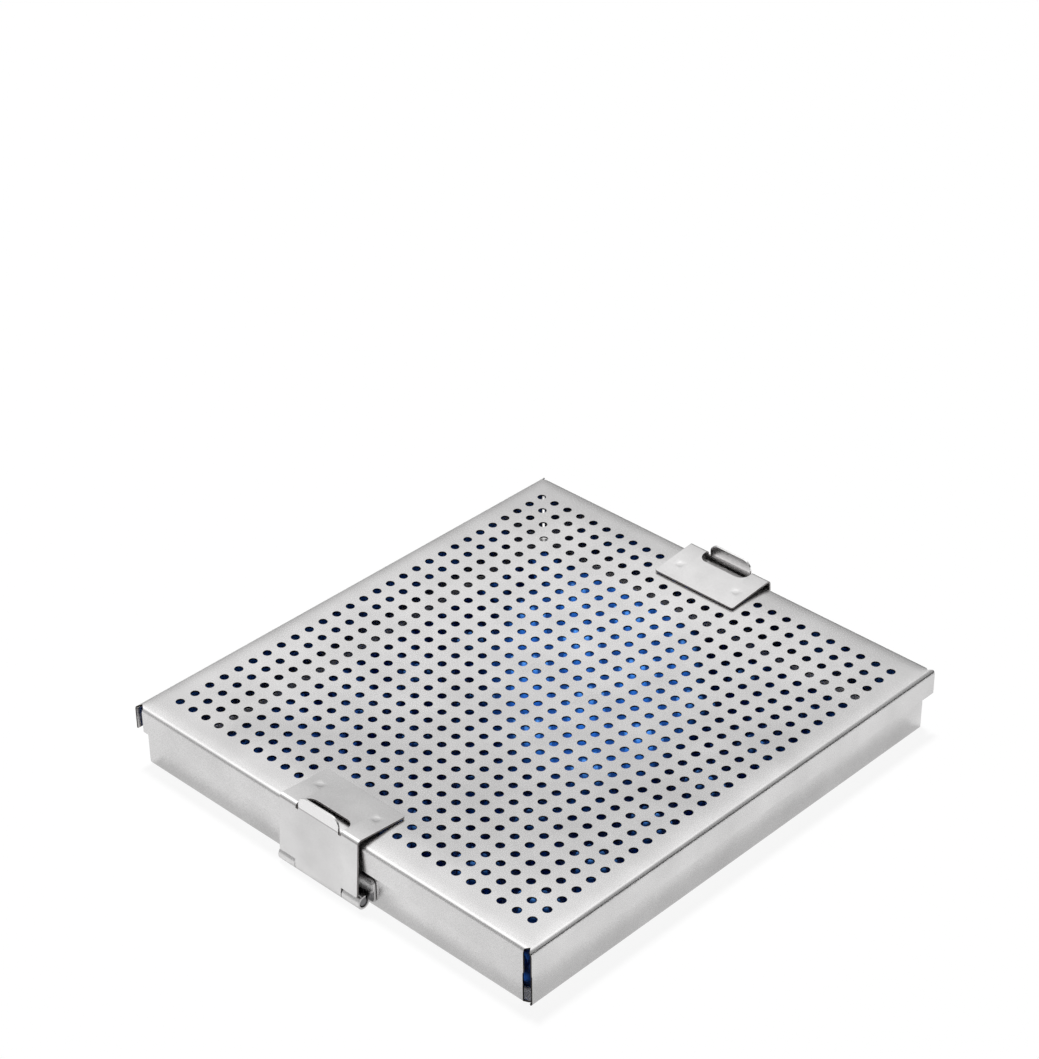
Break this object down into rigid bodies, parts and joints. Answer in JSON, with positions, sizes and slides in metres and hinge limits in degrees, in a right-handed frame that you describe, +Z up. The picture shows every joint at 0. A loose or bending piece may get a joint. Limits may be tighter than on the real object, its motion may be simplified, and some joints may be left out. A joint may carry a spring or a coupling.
{
  "type": "perforated sterilization case",
  "caption": "Shallow stainless steel instrument case with a perforated lift-off lid, a finned silicone mat inside and a hinged hook latch on each of two opposite sides.",
  "frame": {"origin": "middle of the case's footprint, on the surface that it stands on", "axes": "+Z up; +Y from the front latch to the back latch; +X across the case to the right as the front latch faces the viewer"},
  "size_m": [0.253, 0.2822, 0.0427],
  "materials": {
    "satin_steel": "satin",
    "latch_steel": "satin",
    "pin_steel": "dull",
    "blue_silicone": "matte"
  },
  "bodies": {
    "tray": {"base_tray": "satin_steel", "silicone_mat": "blue_silicone", "front_hinge_bracket": "satin_steel", "back_hinge_bracket": "satin_steel", "front_hinge_pin": "pin_steel", "back_hinge_pin": "pin_steel"},
    "lid": {"lid": "satin_steel"},
    "front_latch": {"front_latch": "latch_steel"},
    "back_latch": {"back_latch": "latch_steel"}
  },
  "joints": [
    {"name": "front_latch_hinge", "type": "hinge", "parent": "tray", "child": "front_latch", "pos_m": [0, -0.13765, 0.0038], "axis": [1, 0, 0], "range_deg": [0, 90]},
    {"name": "back_latch_hinge", "type": "hinge", "parent": "tray", "child": "back_latch", "pos_m": [0, 0.13765, 0.0038], "axis": [-1, 0, 0], "range_deg": [0, 90]},
    {"name": "lid_lift", "type": "slide", "parent": "tray", "child": "lid", "axis": [0, 0, 1], "range_m": [0, 0.12]}
  ]
}
